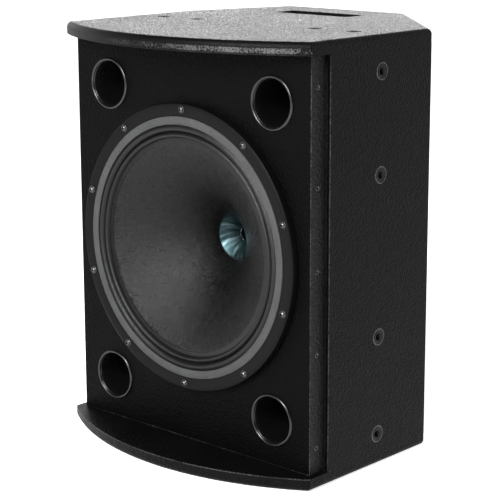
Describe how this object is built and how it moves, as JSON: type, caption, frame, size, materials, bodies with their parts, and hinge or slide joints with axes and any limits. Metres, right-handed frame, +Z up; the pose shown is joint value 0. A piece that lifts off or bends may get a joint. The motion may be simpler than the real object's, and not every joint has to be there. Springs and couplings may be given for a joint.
{
  "type": "loudspeaker cabinet",
  "caption": "Black trapezoidal plywood loudspeaker cabinet with a large coaxial driver, corner ports, a hand recess and threaded rigging points.",
  "frame": {"origin": "centre of the bounding box, on the underside of the bottom panel", "axes": "+Z up, the baffle faces -Y, +X to the right when facing the baffle"},
  "size_m": [0.466, 0.498, 0.6],
  "materials": {
    "painted_ply": "black textured water-based paint on birch plywood",
    "bare_ply": "unfinished birch",
    "moulded_plastic": "black moulded plastic, fine texture",
    "cast_frame": "black powder coat on cast aluminium",
    "gasket_foam": "grey gasket",
    "surround_cloth": "doped corrugated cloth",
    "cone_paper": "dark fibrous paper pulp",
    "coil_former_film": "amber film",
    "copper": "enamelled wire",
    "guide_metal": "polished, blue-green cast",
    "plated_steel": "zinc plated",
    "ferrite": "sintered ferrite",
    "black_screws": "black zinc",
    "terminal_plastic": "red moulded plastic",
    "board_laminate": "glass laminate",
    "capacitor_film": "yellow film wrap",
    "resistor_ceramic": "white ceramic",
    "pressed_dish": "black powder coat",
    "brass_inserts": "turned brass",
    "lining_wool": "grey polyester wadding",
    "cable_sheath": "black flexible sheath"
  },
  "bodies": {
    "cabinet": {"top_panel": "painted_ply", "bottom_panel": "painted_ply", "left_side_panel": "painted_ply", "right_side_panel": "painted_ply", "left_rear_panel": "painted_ply", "right_rear_panel": "painted_ply", "back_panel": "painted_ply", "front_baffle": "painted_ply", "baffle_battens": "bare_ply", "handle_cup": "moulded_plastic", "port_top_left": "moulded_plastic", "port_top_right": "moulded_plastic", "port_bottom_left": "moulded_plastic", "port_bottom_right": "moulded_plastic", "driver_frame": "cast_frame", "driver_basket": "cast_frame", "front_gasket": "gasket_foam", "surround": "surround_cloth", "spider": "surround_cloth", "waveguide": "guide_metal", "front_plate": "plated_steel", "ferrite_magnet": "ferrite", "pole_piece": "plated_steel", "hf_body": "plated_steel", "hf_phase_plug": "guide_metal", "hf_suspension": "surround_cloth", "hf_rear_cover": "moulded_plastic", "driver_screws": "black_screws", "driver_terminals": "terminal_plastic", "crossover_board": "board_laminate", "board_standoffs": "moulded_plastic", "crossover_inductors": "copper", "crossover_capacitors": "capacitor_film", "crossover_resistors": "resistor_ceramic", "input_dish": "pressed_dish", "input_sockets": "moulded_plastic", "socket_cores": "moulded_plastic", "mode_switch_body": "moulded_plastic", "dish_screws": "black_screws", "left_rigging_inserts": "plated_steel", "right_rigging_inserts": "plated_steel", "top_rigging_inserts": "plated_steel", "grille_inserts": "brass_inserts", "pole_socket": "moulded_plastic", "pole_socket_screws": "black_screws", "acoustic_lining": "lining_wool", "input_cable": "cable_sheath", "driver_cable": "cable_sheath"},
    "cone_assembly": {"cone": "cone_paper", "coil_former": "coil_former_film", "coil_winding": "copper"},
    "tweeter_dome": {"hf_diaphragm": "guide_metal", "hf_coil": "copper"},
    "mode_knob": {"mode_switch_knob": "moulded_plastic"}
  },
  "joints": [
    {"name": "cone_travel", "type": "slide", "parent": "cabinet", "child": "cone_assembly", "axis": [0, -1, 0], "range_m": [-0.006, 0.006], "stiffness_N_per_m": 6000, "deforming": ["surround", "spider"]},
    {"name": "tweeter_travel", "type": "slide", "parent": "cabinet", "child": "tweeter_dome", "axis": [0, -1, 0], "range_m": [-0.0003, 0.0003], "stiffness_N_per_m": 4000, "deforming": ["hf_suspension"]},
    {"name": "mode_knob_turn", "type": "hinge", "parent": "cabinet", "child": "mode_knob", "pos_m": [-0.03, 0.217, 0.33], "axis": [0, 1, 0], "range_deg": [0, 60]}
  ]
}
